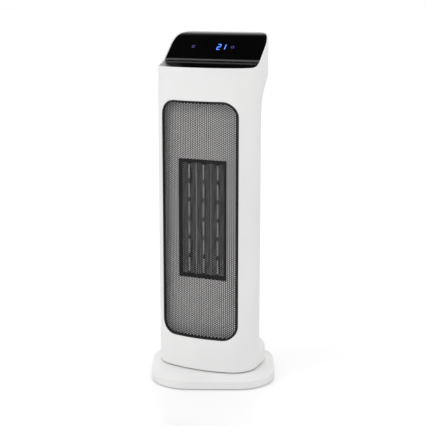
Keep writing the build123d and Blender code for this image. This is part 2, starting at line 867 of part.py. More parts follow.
# Perforated outlet grille inside the trim
grille_inset = seat_gap + grille_border + running_gap
sheet_width = grille_width - 2 * grille_inset
sheet_height = grille_height - 2 * grille_inset
row_pitch = grille_pitch * sqrt(3)
grille_columns = int((sheet_width - grille_pitch) / grille_pitch)
grille_rows = int((sheet_height - grille_pitch) / row_pitch)
with BuildPart() as front_grille:
    extrude(plan(0, column_rear, column_corner, grille_recess), amount=total_height)
    sheet_back = plan(0, column_rear, column_corner, grille_recess + grille_sheet)
    extrude(sheet_back, amount=total_height, mode=Mode.SUBTRACT)
    with BuildSketch(Plane.XZ.offset(-panel_y)):
        with Locations((0, grille_centre)):
            RectangleRounded(sheet_width, sheet_height, grille_corner - grille_inset)
            with GridLocations(grille_pitch, row_pitch, grille_columns, grille_rows):
                Circle(grille_hole / 2, mode=Mode.SUBTRACT)
            with GridLocations(grille_pitch, row_pitch, grille_columns - 1, grille_rows - 1):
                Circle(grille_hole / 2, mode=Mode.SUBTRACT)
    extrude(amount=front_reach, mode=Mode.INTERSECT)
keep(front_grille, "front_grille")

# Pale inner panel behind the grille, with the window of the heating element
with BuildPart() as inner_panel:
    with BuildSketch(Plane.XZ.offset(-panel_y)):
        with Locations((0, (panel_bottom + panel_top) / 2)):
            Rectangle(tower_width, panel_top - panel_bottom)
        with Locations((0, window_centre)):
            Rectangle(window_width, window_height, mode=Mode.SUBTRACT)
    extrude(amount=-panel_thickness)
    extrude(plan(0, column_rear, column_corner, wall + seat_gap), amount=total_height, mode=Mode.INTERSECT)
keep(inner_panel, "inner_panel")

# Heat-proof frame that holds the ceramic element behind the window
with BuildPart() as element_frame:
    with BuildSketch(Plane.XZ.offset(-panel_back)):
        with Locations((0, window_centre)):
            Rectangle(frame_width, frame_height)
            Rectangle(element_width + 2 * running_gap, fin_height + 2 * running_gap, mode=Mode.SUBTRACT)
    extrude(amount=-element_depth)
keep(element_frame, "element_frame")

# Ceramic element: stones between electrodes, folded fins on both sides, plates between the strips
strip_places = [(index - (strip_count - 1) / 2) * strip_pitch for index in range(strip_count)]
fin_width = (strip_pitch - stone_thickness - 2 * electrode_thickness - divider_thickness) / 2
fin_offset = stone_thickness / 2 + electrode_thickness + fin_width / 2
fin_front = panel_back + (element_depth - fin_depth) / 2
stone_pitch = fin_height / stone_count
fin_cells = int(fin_height / fin_pitch)
with BuildPart() as element_fins:
    with BuildSketch(Plane.XZ.offset(-fin_front)):
        for place in strip_places:
            with Locations((place - fin_offset, window_centre), (place + fin_offset, window_centre)):
                Rectangle(fin_width, fin_height)
                with GridLocations(fin_width, fin_height / fin_cells, 1, fin_cells):
                    Rectangle(fin_width - 2 * fin_wall, fin_pitch - 2 * fin_wall, mode=Mode.SUBTRACT)
    extrude(amount=-fin_depth)
keep(element_fins, "element_fins")

with BuildPart() as element_stones:
    with BuildSketch(Plane.XZ.offset(-fin_front)):
        with Locations((0, window_centre)):
            with GridLocations(strip_pitch, stone_pitch, strip_count, stone_count):
                Rectangle(stone_thickness, stone_pitch - stone_gap)
    extrude(amount=-fin_depth)
keep(element_stones, "element_stones")

electrode_offset = stone_thickness / 2 + electrode_thickness / 2
with BuildPart() as element_electrodes:
    with BuildSketch(Plane.XZ.offset(-fin_front)):
        for place in strip_places:
            with Locations((place, window_centre)):
                with GridLocations(2 * electrode_offset, 0, 2, 1):
                    Rectangle(electrode_thickness, fin_height)
    extrude(amount=-fin_depth)
    with BuildSketch(Plane.XZ.offset(-fin_front - fin_depth)):
        tab_z = window_centre - fin_height / 2 + terminal_width
        for place in strip_places:
            for side, step in ((-1, 0), (1, 2 * terminal_width)):
                with Locations((place + side * electrode_offset, tab_z + step)):
                    Rectangle(electrode_thickness, terminal_width)
    extrude(amount=-terminal_length)
keep(element_electrodes, "element_electrodes")

with BuildPart() as element_dividers:
    with BuildSketch(Plane.XZ.offset(-fin_front)):
        with Locations((0, window_centre)):
            with GridLocations(strip_pitch, fin_height, strip_count - 1, 1):
                Rectangle(divider_thickness, fin_height)
            with GridLocations(element_width - divider_thickness / 2, fin_height, 2, 1):
                Rectangle(divider_thickness / 2, fin_height)
    extrude(amount=-fin_depth)
keep(element_dividers, "element_dividers")

# Resettable thermal cut-out standing on the element frame
with BuildPart() as thermal_cutout:
    with BuildSketch(Plane.XY.offset(frame_top)):
        with Locations((cutout_x, (panel_back + element_back) / 2)):
            Circle(cutout_radius)
    extrude(amount=cutout_height)
    fillet(thermal_cutout.faces().sort_by(Axis.Z)[-1].edges(), cutout_edge)
    with BuildSketch(Plane.XY.offset(frame_top + cutout_height)):
        with Locations((cutout_x, (panel_back + element_back) / 2)):
            with GridLocations(cutout_radius, 0, 2, 1):
                Rectangle(terminal_thickness, terminal_width)
    extrude(amount=terminal_length)
keep(thermal_cutout, "thermal_cutout")

# Blower housing: scroll wall on one side, tongue on the other, end plates above and below
with BuildPart() as blower_housing:
    with BuildSketch(Plane.XY.offset(scroll_bottom)):
        with Locations((0, fan_y)):
            Circle(scroll_radius + scroll_wall)
            Circle(scroll_radius, mode=Mode.SUBTRACT)
        with Locations((scroll_lip - scroll_radius, fan_y)):
            mouth_align = (Align.MIN, Align.CENTER)
            Rectangle(4 * scroll_radius, 4 * scroll_radius, align=mouth_align, mode=Mode.SUBTRACT)
        with Locations((0, element_back)):
            Rectangle(4 * scroll_half_width, 2 * (fan_y - element_back), mode=Mode.SUBTRACT)
        with Locations((-scroll_radius - scroll_wall, element_back)):
            Rectangle(scroll_wall, fan_y - element_back, align=(Align.MIN, Align.MIN))
        with Locations((scroll_radius, element_back)):
            Rectangle(scroll_wall, fan_y - element_back, align=(Align.MIN, Align.MIN))
    extrude(amount=scroll_top - scroll_bottom)
    for height in (scroll_bottom - scroll_end, scroll_top):
        with BuildSketch(Plane.XY.offset(height)):
            with Locations((0, (element_back + scroll_rear) / 2)):
                Rectangle(2 * scroll_half_width, scroll_rear - element_back)
        extrude(amount=scroll_end)
    with BuildSketch(Plane.XY.offset(scroll_bottom - scroll_end)):
        with Locations((0, fan_y)):
            Circle(bush_radius + running_gap)
    extrude(amount=scroll_top + 2 * scroll_end - scroll_bottom, mode=Mode.SUBTRACT)
keep(blower_housing, "blower_housing")

# Rubber-cushioned bush that carries the top of the blower wheel
with BuildPart() as top_bush:
    with BuildSketch(Plane.XY.offset(scroll_top)):
        with Locations((0, fan_y)):
            Circle(bush_radius)
    extrude(amount=scroll_end)
    with BuildSketch(Plane.XY.offset(scroll_top + scroll_end)):
        with Locations((0, fan_y)):
            Circle(bush_radius + bush_flange)
    extrude(amount=bush_flange)
    with BuildSketch(Plane.XY.offset(scroll_top)):
        with Locations((0, fan_y)):
            Circle(fan_stub_radius + running_gap)
    extrude(amount=scroll_end + bush_flange, mode=Mode.SUBTRACT)
keep(top_bush, "top_bush")

# Tangential blower wheel: blades between discs, with a hub below and a stub above
with BuildPart() as fan_wheel:
    with BuildSketch(Plane.XY.offset(fan_bottom)):
        with Locations((0, fan_y)):
            with PolarLocations(fan_radius - fan_blade / 2 - fan_blade_thickness / 2, fan_blades):
                Rectangle(fan_blade, fan_blade_thickness, rotation=fan_blade_angle)
    extrude(amount=fan_length)
    disc_pitch = (fan_length - fan_disc) / fan_sections
    for index in range(fan_sections + 1):
        with BuildSketch(Plane.XY.offset(fan_bottom + index * disc_pitch)):
            with Locations((0, fan_y)):
                Circle(fan_radius)
                if 0 < index < fan_sections:
                    Circle(fan_radius - fan_blade, mode=Mode.SUBTRACT)
        extrude(amount=fan_disc)
    with BuildSketch(Plane.XY.offset(fan_bottom)):
        with Locations((0, fan_y)):
            Circle(fan_hub_radius)
    extrude(amount=fan_hub_length)
    with BuildSketch(Plane.XY.offset(fan_bottom)):
        with Locations((0, fan_y)):
            Circle(fan_shaft_radius)
    extrude(amount=fan_hub_length, mode=Mode.SUBTRACT)
    with BuildSketch(Plane.XY.offset(fan_top)):
        with Locations((0, fan_y)):
            Circle(fan_stub_radius)
    extrude(amount=fan_end_gap + scroll_end + bush_flange)
keep(fan_wheel, "fan_wheel")

# Steel motor shaft pressed into the wheel's hub
with BuildPart() as fan_shaft:
    shaft_bottom = motor_top - motor_bore_depth + seat_gap
    with BuildSketch(Plane.XY.offset(shaft_bottom)):
        with Locations((0, fan_y)):
            Circle(fan_shaft_radius)
    extrude(amount=fan_bottom + fan_hub_length - shaft_bottom)
keep(fan_shaft, "fan_shaft")

# Blower motor and the bracket that hangs it under the housing
with BuildPart() as fan_motor:
    with BuildSketch(Plane.XY.offset(motor_top - motor_height)):
        with Locations((0, fan_y)):
            Circle(motor_radius)
    extrude(amount=motor_height)
    fillet(fan_motor.faces().sort_by(Axis.Z)[0].edges(), motor_edge)
    with BuildSketch(Plane.XY.offset(motor_top)):
        with Locations((0, fan_y)):
            Circle(fan_shaft_radius + running_gap)
    extrude(amount=-motor_bore_depth, mode=Mode.SUBTRACT)
keep(fan_motor, "fan_motor")

with BuildPart() as motor_bracket:
    with BuildSketch(Plane.XY.offset(motor_top)):
        with Locations((0, fan_y)):
            RectangleRounded(bracket_width, 2 * (motor_radius - bracket_trim), bracket_corner)
            Circle(fan_hub_radius, mode=Mode.SUBTRACT)
    extrude(amount=bracket_height)
keep(motor_bracket, "motor_bracket")

# Power board beside the motor, in a rail of the inner panel, with its relays
with BuildPart() as power_board:
    with BuildSketch(Plane.YZ.offset(power_board_x)):
        with Locations((panel_back + seat_gap, power_board_bottom)):
            Rectangle(power_board_depth, power_board_height, align=(Align.MIN, Align.MIN))
    extrude(amount=-board_thickness)
keep(power_board, "power_board")

with BuildPart() as power_relays:
    relay_pitch = power_board_height / relay_count
    with BuildSketch(Plane.YZ.offset(power_board_x)):
        for index in range(relay_count):
            relay_z = power_board_bottom + (index + 0.5) * relay_pitch
            with Locations((panel_back + seat_gap + power_board_depth / 2, relay_z)):
                Rectangle(relay_length, relay_width)
    extrude(amount=relay_height)
    fillet(power_relays.edges().filter_by(Axis.X), relay_corner)
keep(power_relays, "power_relays")

# Glossy control panel that sweeps up to the crest, cut to the inside of the head
with BuildPart() as control_panel:
    extrude(above_slope(panel_sink + panel_skin), amount=tower_width, both=True)
    extrude(above_slope(panel_sink), amount=tower_width, both=True, mode=Mode.SUBTRACT)
    with BuildSketch(Plane.XZ.offset(-lip_y)):
        with Locations((0, total_height / 2)):
            Rectangle(2 * tower_width, 2 * total_height)
    extrude(amount=2 * front_reach, mode=Mode.SUBTRACT)
    lip_face = control_panel.faces().sort_by(Axis.Y)[0]
    fillet(lip_face.edges().filter_by(Axis.X), lip_radius)
    head_inside = plan(0, head_rear, head_corner, wall + panel_ledge)
    extrude(head_inside, amount=total_height, mode=Mode.INTERSECT)
keep(control_panel, "control_panel")

# Hand recess between the front rim and the panel's lip, reaching back under the panel
lip_drop = slope_foot_radius - sqrt(slope_foot_radius**2 - (lip_y - slope_start) ** 2)
lip_bottom = rim_height + lip_drop - panel_sink - panel_skin - seat_gap
recess_rear = lip_y + recess_reach
with BuildPart() as hand_recess:
    with BuildSketch(Plane.YZ):
        with BuildLine():
            Polyline(
                (-2 * front_reach, recess_floor - recess_skin),
                (recess_rear + recess_skin, recess_floor - recess_skin),
                (recess_rear + recess_skin, recess_floor + recess_end + recess_skin),
                (lip_y + recess_skin, lip_bottom),
                (lip_y, lip_bottom),
                (lip_y, lip_bottom - recess_skin),
                (recess_rear, recess_floor + recess_end),
                (recess_rear, recess_floor),
                (-2 * front_reach, recess_floor),
                close=True,
            )
        make_face()
    extrude(amount=tower_width, both=True)
    recess_shell = flare_rear(recess_floor - recess_skin)
    recess_inside = plan(0, recess_shell, flare_corner(recess_shell), wall + panel_ledge)
    extrude(recess_inside, amount=total_height, mode=Mode.INTERSECT)
keep(hand_recess, "hand_recess")

# Display block and control board under the slope of the panel
slope_middle_y = slope_start + slope_foot_radius * sin(radians(slope_angle)) + slope_run / 2
slope_middle_z = rim_height + slope_foot_radius * slope_turn + slope_run / 2 * tan(radians(slope_angle))
slope_plane = Plane(
    origin=(0, slope_middle_y, slope_middle_z),
    x_dir=(1, 0, 0),
    z_dir=(0, -sin(radians(slope_angle)), cos(radians(slope_angle))),
)
panel_under = (panel_sink + panel_skin) * cos(radians(slope_angle))
display_top = -panel_under - seat_gap
with BuildPart() as display_module:
    with BuildSketch(slope_plane.offset(display_top)):
        with Locations((display_x, 0)):
            Rectangle(display_width, display_length)
    extrude(amount=-display_height)
keep(display_module, "display_module")

with BuildPart() as control_board:
    with BuildSketch(slope_plane.offset(display_top - display_height)):
        Rectangle(control_board_width, control_board_length)
    extrude(amount=-board_thickness)
    upright = Axis((0, 0, 0), slope_plane.z_dir)
    fillet(control_board.edges().filter_by(upright), control_board_corner)
keep(control_board, "control_board")

# Pull-off rear cover with intake slots, and the dust mesh behind it
slot_count = int((filter_height - 2 * filter_margin) / filter_slot_pitch)
with BuildPart() as filter_cover:
    with BuildSketch(Plane.XZ.offset(-column_rear)):
        with Locations((0, filter_centre)):
            RectangleRounded(filter_width, filter_height, filter_corner - filter_gap)
            with GridLocations(0, filter_slot_pitch, 1, slot_count):
                SlotOverall(filter_width - 2 * filter_margin, filter_slot, mode=Mode.SUBTRACT)
    extrude(amount=wall - running_gap)
keep(filter_cover, "filter_cover")

with BuildPart() as filter_mesh:
    with BuildSketch(Plane.XZ.offset(-column_rear + wall)):
        with Locations((0, filter_centre)):
            RectangleRounded(
                filter_width - 2 * filter_ledge - 2 * filter_gap,
                filter_height - 2 * filter_ledge - 2 * filter_gap,
                filter_corner - filter_ledge - filter_gap,
            )
    extrude(amount=filter_mesh_thickness)
keep(filter_mesh, "filter_mesh")

# Mains switch at the back of the foot: housing with its bezel, and the rocker on its pin
rocker_plane = Plane(origin=(switch_x, foot_rear, switch_z))
with BuildPart() as switch_housing:
    with BuildSketch(Plane.XZ.offset(-foot_rear)):
        with Locations((switch_x, switch_z)):
            RectangleRounded(switch_width, switch_height, switch_corner)
    extrude(amount=-switch_bezel)
    with BuildSketch(Plane.XZ.offset(-foot_rear)):
        with Locations((switch_x, switch_z)):
            Rectangle(switch_body_width, switch_body_height)
    extrude(amount=switch_depth)
    with BuildSketch(Plane.XZ.offset(-foot_rear - switch_bezel)):
        with Locations((switch_x, switch_z)):
            Rectangle(rocker_width + 2 * rocker_room, rocker_height + 2 * seat_gap)
    extrude(amount=switch_depth - 2 * switch_bezel, mode=Mode.SUBTRACT)
    with BuildSketch(rocker_plane.offset(-switch_height)):
        Circle(rocker_pin + running_gap)
    extrude(amount=2 * switch_height, mode=Mode.SUBTRACT)
keep(switch_housing, "switch_housing")

with BuildPart() as power_rocker:
    half = rocker_width / 2
    tilt = radians(rocker_tilt)
    outline = (
        (-half, rocker_side),
        (-half, rocker_crest),
        (0, rocker_dip),
        (half, rocker_crest),
        (half, rocker_side),
        (rocker_stem, -rocker_reach),
        (-rocker_stem, -rocker_reach),
    )
    turned = [(x * cos(tilt) - y * sin(tilt), x * sin(tilt) + y * cos(tilt)) for x, y in outline]
    with BuildSketch(rocker_plane.offset(-rocker_height / 2)):
        with BuildLine():
            Polyline(*turned, close=True)
        make_face()
    extrude(amount=rocker_height)
    pin_length = switch_body_height - 2 * seat_gap
    with BuildSketch(rocker_plane.offset(-pin_length / 2)):
        Circle(rocker_pin)
    extrude(amount=pin_length)
keep(power_rocker, "power_rocker")

# Cord gland at the back of the foot
with BuildPart() as cord_gland:
    with BuildSketch(Plane.XZ.offset(-foot_rear)):
        with Locations((gland_x, switch_z)):
            Circle(gland_flange)
    extrude(amount=-gland_flange_thickness)
    with BuildSketch(Plane.XZ.offset(-foot_rear)):
        with Locations((gland_x, switch_z)):
            Circle(gland_radius)
    extrude(amount=gland_length)
    with BuildSketch(Plane.XZ.offset(-foot_rear - gland_flange_thickness)):
        with Locations((gland_x, switch_z)):
            Circle(gland_bore)
    extrude(amount=gland_length + 2 * gland_flange_thickness, mode=Mode.SUBTRACT)
keep(cord_gland, "cord_gland")

os.makedirs("parts", exist_ok=True)
for part in parts:
    export_step(part, f"parts/{part.label}.step")
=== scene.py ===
from math import atan2, copysign, cos, hypot, pi, radians, sin, sqrt

import bmesh
import bpy
from mathutils import Matrix, Vector


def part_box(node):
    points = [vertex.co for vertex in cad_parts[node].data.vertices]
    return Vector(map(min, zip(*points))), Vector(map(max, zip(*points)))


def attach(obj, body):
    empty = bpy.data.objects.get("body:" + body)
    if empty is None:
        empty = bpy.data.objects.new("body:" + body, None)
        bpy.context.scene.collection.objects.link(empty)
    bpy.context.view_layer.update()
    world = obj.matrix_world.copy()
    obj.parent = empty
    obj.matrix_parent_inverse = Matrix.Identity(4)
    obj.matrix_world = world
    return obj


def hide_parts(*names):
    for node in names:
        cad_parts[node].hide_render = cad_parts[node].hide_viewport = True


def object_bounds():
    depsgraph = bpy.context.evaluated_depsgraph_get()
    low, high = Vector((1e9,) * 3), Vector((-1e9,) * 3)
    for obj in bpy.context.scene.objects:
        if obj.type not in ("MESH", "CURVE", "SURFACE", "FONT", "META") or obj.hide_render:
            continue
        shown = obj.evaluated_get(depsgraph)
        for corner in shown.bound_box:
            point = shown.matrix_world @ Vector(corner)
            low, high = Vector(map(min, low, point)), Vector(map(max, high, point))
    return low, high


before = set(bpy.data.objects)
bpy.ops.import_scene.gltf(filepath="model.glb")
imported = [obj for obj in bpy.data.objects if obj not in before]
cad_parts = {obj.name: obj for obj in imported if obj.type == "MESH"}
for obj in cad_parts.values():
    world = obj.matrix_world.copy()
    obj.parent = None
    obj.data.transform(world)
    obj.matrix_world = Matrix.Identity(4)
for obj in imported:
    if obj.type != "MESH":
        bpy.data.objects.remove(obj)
cad_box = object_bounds()

# Rubber feet: four matt black pads that keep the heater from sliding or marking the floor.
# Moulded rubber with a faint grey bloom, pushed into shallow seats under the base plate.
rubber_black = (0.030, 0.030, 0.031, 1)
rubber_bloom = (0.060, 0.060, 0.060, 1)
blend_start = 0.35
blend_end = 0.65
patch_detail = 3
grain_detail = 2
roughness_spread = 0.06


def noise_on(finish, size, detail):
    """A noise of the given patch size in metres, laid on the piece itself."""
    nodes = finish.node_tree.nodes
    place = nodes.new("ShaderNodeTexCoord")
    noise = nodes.new("ShaderNodeTexNoise")
    noise.inputs["Scale"].default_value = 1 / size
    noise.inputs["Detail"].default_value = detail
    finish.node_tree.links.new(place.outputs["Object"], noise.inputs["Vector"])
    return noise.outputs["Fac"]


def blend_colours(finish, factor, first, second):
    """A soft step from the first colour to the second along the factor."""
    ramp = finish.node_tree.nodes.new("ShaderNodeValToRGB")
    low, high = ramp.color_ramp.elements
    low.position, high.position = blend_start, blend_end
    low.color, high.color = first, second
    finish.node_tree.links.new(factor, ramp.inputs["Fac"])
    return ramp.outputs["Color"]


def spread(finish, factor, low, high):
    """The factor from 0 to 1, stretched to run from low to high."""
    reach = finish.node_tree.nodes.new("ShaderNodeMapRange")
    reach.inputs["To Min"].default_value = low
    reach.inputs["To Max"].default_value = high
    finish.node_tree.links.new(factor, reach.inputs["Value"])
    return reach.outputs["Result"]


def raise_grain(finish, height, depth):
    """Lets a height from 0 to 1 stand up by the given depth in metres."""
    tree = finish.node_tree
    bump = tree.nodes.new("ShaderNodeBump")
    bump.inputs["Distance"].default_value = depth
    tree.links.new(height, bump.inputs["Height"])
    tree.links.new(bump.outputs["Normal"], tree.nodes["Principled BSDF"].inputs["Normal"])


def grained(name, first, second, roughness, patch, grain, depth, metallic=0.0):
    """A finish of two close colours in soft patches, with a fine grain that stands up a little."""
    finish = bpy.data.materials.new(name)
    finish.use_nodes = True
    tree = finish.node_tree
    surface = tree.nodes["Principled BSDF"]
    surface.inputs["Metallic"].default_value = metallic
    patches = noise_on(finish, patch, patch_detail)
    tree.links.new(blend_colours(finish, patches, first, second), surface.inputs["Base Color"])
    fine = noise_on(finish, grain, grain_detail)
    uneven = spread(finish, fine, roughness - roughness_spread, roughness + roughness_spread)
    tree.links.new(uneven, surface.inputs["Roughness"])
    raise_grain(finish, fine, depth)
    return finish


def dress(finish, *names):
    """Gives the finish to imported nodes, which keep their own shapes."""
    for name in names:
        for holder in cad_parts[name].material_slots:
            holder.material = finish


rubber = grained(
    "rubber", rubber_black, rubber_bloom,
    roughness=0.8, patch=0.02, grain=0.0006, depth=0.00002,
)
dress(rubber, "base_feet")

# Base plate, base shell and tower floor: the low foot, a soft square with bowed sides, and the plate
# that closes the turning tower below. Injection-moulded ABS, white with a fine satin texture; the
# shell is screwed to the base plate.
satin_white = (0.835, 0.835, 0.828, 1)
satin_white_shade = (0.800, 0.801, 0.797, 1)
shell_white = grained(
    "shell_white", satin_white, satin_white_shade,
    roughness=0.46, patch=0.12, grain=0.0007, depth=0.000012,
)
dress(shell_white, "base_plate", "base_shell", "tower_floor")

# Screws, the ring that holds the swivel's post and the blower's shaft: zinc-plated steel.
# The screws are driven from below and from behind, and the ring is sprung into the post's groove.
# The plating is bright, with a faint milky cloud where it has aged.
zinc = (0.62, 0.62, 0.63, 1)
zinc_cloud = (0.48, 0.49, 0.51, 1)
zinc_plate = grained(
    "zinc_plate", zinc, zinc_cloud,
    roughness=0.32, patch=0.003, grain=0.0003, depth=0.000006, metallic=1.0,
)
dress(zinc_plate, "base_screws", "floor_screws", "shell_screws", "swivel_retainer", "fan_shaft")

# Swing drive and tip-over plunger: a toothed ring, the pinion that walks round it, the slide ring under
# the tower, and the pin that feels the floor. Moulded acetal, ivory and waxy, because these pieces rub
# without grease.
acetal = (0.78, 0.77, 0.71, 1)
acetal_shade = (0.72, 0.71, 0.65, 1)
acetal_white = grained(
    "acetal", acetal, acetal_shade,
    roughness=0.38, patch=0.02, grain=0.0005, depth=0.000008,
)
dress(acetal_white, "gear_ring", "swing_pinion", "slide_ring", "tip_plunger")

# Motors and thermal cut-out: the swing motor on the tower's floor, the blower's motor with the bracket
# that hangs it under its housing, and the cut-out on top of the element's frame.
# Pressed steel cans with a dull plated skin, a little cloudy.
can_steel = (0.40, 0.41, 0.43, 1)
can_steel_dark = (0.31, 0.32, 0.34, 1)
motor_can = grained(
    "motor_can", can_steel, can_steel_dark,
    roughness=0.36, patch=0.006, grain=0.0004, depth=0.00001, metallic=1.0,
)
dress(motor_can, "swing_motor", "fan_motor", "motor_bracket", "thermal_cutout")

# Small black mouldings: the tip-over switch, the mains switch's housing and rocker, the display's
# carrier. Satin nylon with a fine grain from the spark-eroded mould.
nylon_black = (0.022, 0.022, 0.023, 1)
nylon_black_worn = (0.034, 0.034, 0.036, 1)
black_nylon = grained(
    "black_nylon", nylon_black, nylon_black_worn,
    roughness=0.42, patch=0.015, grain=0.0005, depth=0.000015,
)
dress(black_nylon, "tip_switch", "switch_housing", "power_rocker", "display_module")

# Tower shells: the bowed front with its outlet and the rear shell with the waist, both white.
# The same satin ABS as the base, screwed together from behind through deep wells.
dress(shell_white, "front_shell", "rear_shell")

# Heating element's frame and blower housing: the dark box around the element and the fan's scroll.
# Glass-filled heat-proof plastic, with the short fibres showing as a dull mottled skin.
moulded_black = (0.012, 0.012, 0.013, 1)
fibre_black = (0.024, 0.024, 0.025, 1)
heat_plastic = grained(
    "heat_plastic", moulded_black, fibre_black,
    roughness=0.62, patch=0.002, grain=0.0008, depth=0.00003,
)
dress(heat_plastic, "element_frame", "blower_housing")

# Heating stones and their plates: PTC ceramic tablets in rows, pressed between electrode strips.
# Pale fired ceramic with a sandy skin, each stone's ends darkened as painted shade beside the gaps
# between stones; the electrodes are dark brown strips, also painted shade, the plates between the rows
# plain aluminium.
stones_in_row = 6
stone_gap = 0.006
gap_shade_reach = 0.0006
gap_shade_fade = 0.0004
tablet_pale = (0.86, 0.86, 0.85, 1)
tablet_pale_shade = (0.74, 0.74, 0.73, 1)
gap_shade_dark = (0.018, 0.017, 0.016, 1)
stone_low, stone_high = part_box("element_stones")
stone_pitch = (stone_high.z - stone_low.z + stone_gap) / stones_in_row


def height_on(finish):
    """The height of each point of the piece, in metres."""
    tree = finish.node_tree
    place = tree.nodes.new("ShaderNodeTexCoord")
    parts = tree.nodes.new("ShaderNodeSeparateXYZ")
    tree.links.new(place.outputs["Object"], parts.inputs["Vector"])
    return parts.outputs["Z"]


def from_joint(finish, first_joint, pitch):
    """How far each point lies from the nearest joint in a column of like pieces."""
    tree = finish.node_tree
    raised = tree.nodes.new("ShaderNodeMath")
    raised.operation = "SUBTRACT"
    raised.inputs[1].default_value = first_joint
    nearest = tree.nodes.new("ShaderNodeMath")
    nearest.operation = "PINGPONG"
    nearest.inputs[1].default_value = pitch / 2
    tree.links.new(height_on(finish), raised.inputs[0])
    tree.links.new(raised.outputs["Value"], nearest.inputs[0])
    return nearest.outputs["Value"]


def step_at(finish, length, start, fade):
    """0 where a length is below the start and 1 above it, with a short fade between them."""
    tree = finish.node_tree
    step = tree.nodes.new("ShaderNodeMapRange")
    step.inputs["From Min"].default_value = start
    step.inputs["From Max"].default_value = start + fade
    tree.links.new(length, step.inputs["Value"])
    return step.outputs["Result"]


def part_below(finish, factor, socket, value):
    """Puts a plain value under what already feeds the socket, where the factor is 0."""
    tree = finish.node_tree
    target = tree.nodes["Principled BSDF"].inputs[socket]
    chooser = tree.nodes.new("ShaderNodeMix")
    chooser.data_type = "RGBA" if target.type == "RGBA" else "FLOAT"
    kind = "Color" if target.type == "RGBA" else "Float"
    ends = {end.identifier: end for end in chooser.inputs}
    ends["A_" + kind].default_value = value
    tree.links.new(factor, ends["Factor_Float"])
    tree.links.new(target.links[0].from_socket, ends["B_" + kind])
    results = {result.identifier: result for result in chooser.outputs}
    tree.links.new(results["Result_" + kind], target)


ceramic = grained(
    "ceramic", tablet_pale, tablet_pale_shade,
    roughness=0.75, patch=0.004, grain=0.0004, depth=0.00002,
)
# The ends of each stone, beside the gaps between stones, are painted near black: painted shade.
joint_distance = from_joint(ceramic, stone_low.z - stone_gap / 2, stone_pitch)
unshaded_stone = step_at(ceramic, joint_distance, stone_gap / 2 + gap_shade_reach, gap_shade_fade)
part_below(ceramic, unshaded_stone, "Base Color", gap_shade_dark)
dress(ceramic, "element_stones")

# The electrodes' dark brown is painted shade, so that the gaps between the stones read dark.
shaded_strip = (0.060, 0.055, 0.050, 1)
shaded_strip_light = (0.110, 0.100, 0.090, 1)
electrode_strip = grained(
    "electrode_strip", shaded_strip, shaded_strip_light,
    roughness=0.5, patch=0.006, grain=0.0004, depth=0.000006,
)
dress(electrode_strip, "element_electrodes")

strip_bright = (0.80, 0.80, 0.80, 1)
strip_dull = (0.66, 0.66, 0.67, 1)
strip_metal = grained(
    "strip_metal", strip_bright, strip_dull,
    roughness=0.42, patch=0.01, grain=0.0004, depth=0.000006, metallic=0.4,
)
dress(strip_metal, "element_dividers")

# Radiator fins: thin foil folded to and fro between the strips, six bays side by side.
# Bare aluminium dulled by heat, folded on a machine and clamped, not soldered.
foil_thickness = 0.0003
fold_step = 0.0018
bay_edges = [0.0019, 0.0126, 0.0140, 0.0247, 0.0285, 0.0392]
foil_bright = (0.80, 0.805, 0.81, 1)
foil_dull = (0.60, 0.605, 0.61, 1)
fin_low, fin_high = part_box("element_fins")
fin_depth = fin_high.y - fin_low.y
fin_foil = grained(
    "fin_foil", foil_bright, foil_dull,
    roughness=0.5, patch=0.006, grain=0.0005, depth=0.00001, metallic=0.35,
)


def make_object(name, shape, finish):
    """Turns a finished bmesh into an object of the scene."""
    mesh = bpy.data.meshes.new(name)
    shape.to_mesh(mesh)
    shape.free()
    mesh.materials.append(finish)
    made = bpy.data.objects.new(name, mesh)
    bpy.context.scene.collection.objects.link(made)
    return made


def add_piece(name, shape, finish, body):
    """Turns a finished bmesh into a piece that rides on a body of the frame."""
    piece = make_object(name, shape, finish)
    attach(piece, body)
    return piece


def moved_points(result):
    """The vertices among what an extrusion gave back."""
    return [item for item in result["geom"] if isinstance(item, bmesh.types.BMVert)]


fins = bmesh.new()
folds = int((fin_high.z - fin_low.z - foil_thickness) / fold_step)
first_fold = fin_low.z + foil_thickness
for side in (-1, 1):
    for inner, outer in zip(bay_edges[0::2], bay_edges[1::2]):
        turns = [side * (inner + foil_thickness), side * (outer - foil_thickness)]
        tip = fins.verts.new((turns[0], fin_low.y, first_fold))
        for fold in range(1, folds + 1):
            tip = bmesh.ops.extrude_vert_indiv(fins, verts=[tip])["verts"][0]
            tip.co = (turns[fold % 2], fin_low.y, first_fold + fold * fold_step)
drawn = bmesh.ops.extrude_edge_only(fins, edges=fins.edges[:])
bmesh.ops.translate(fins, verts=moved_points(drawn), vec=(0, fin_depth, 0))
bmesh.ops.recalc_face_normals(fins, faces=fins.faces[:])
bmesh.ops.solidify(fins, geom=fins.faces[:], thickness=foil_thickness)
folded_fins = add_piece("folded_fins", fins, fin_foil, "tower")
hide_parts("element_fins")

# Blower: the long drum of blades behind the element and the bush that carries its top end.
# Dark moulded plastic for the drum, pressed on its shaft, and rubber for the bush.
drum_grey = (0.055, 0.055, 0.060, 1)
drum_grey_light = (0.080, 0.080, 0.086, 1)
drum_plastic = grained(
    "drum_plastic", drum_grey, drum_grey_light,
    roughness=0.5, patch=0.02, grain=0.0006, depth=0.00001,
)
dress(drum_plastic, "fan_wheel")
dress(rubber, "top_bush")

# Circuit boards and relays: the power board beside the blower's motor, in a rail of the inner panel,
# and the control board under the sloped panel.
# Glass-fibre board under green lacquer with paler tracks, and blue relay caps.
lacquer = (0.020, 0.110, 0.045, 1)
track = (0.045, 0.190, 0.080, 1)
relay_cap = (0.060, 0.140, 0.330, 1)
relay_cap_shade = (0.045, 0.110, 0.270, 1)
board_green = grained(
    "board_green", lacquer, track,
    roughness=0.35, patch=0.002, grain=0.0012, depth=0.00003,
)
relay_blue = grained(
    "relay_blue", relay_cap, relay_cap_shade,
    roughness=0.4, patch=0.008, grain=0.0005, depth=0.00001,
)
dress(board_green, "power_board", "control_board")
dress(relay_blue, "power_relays")

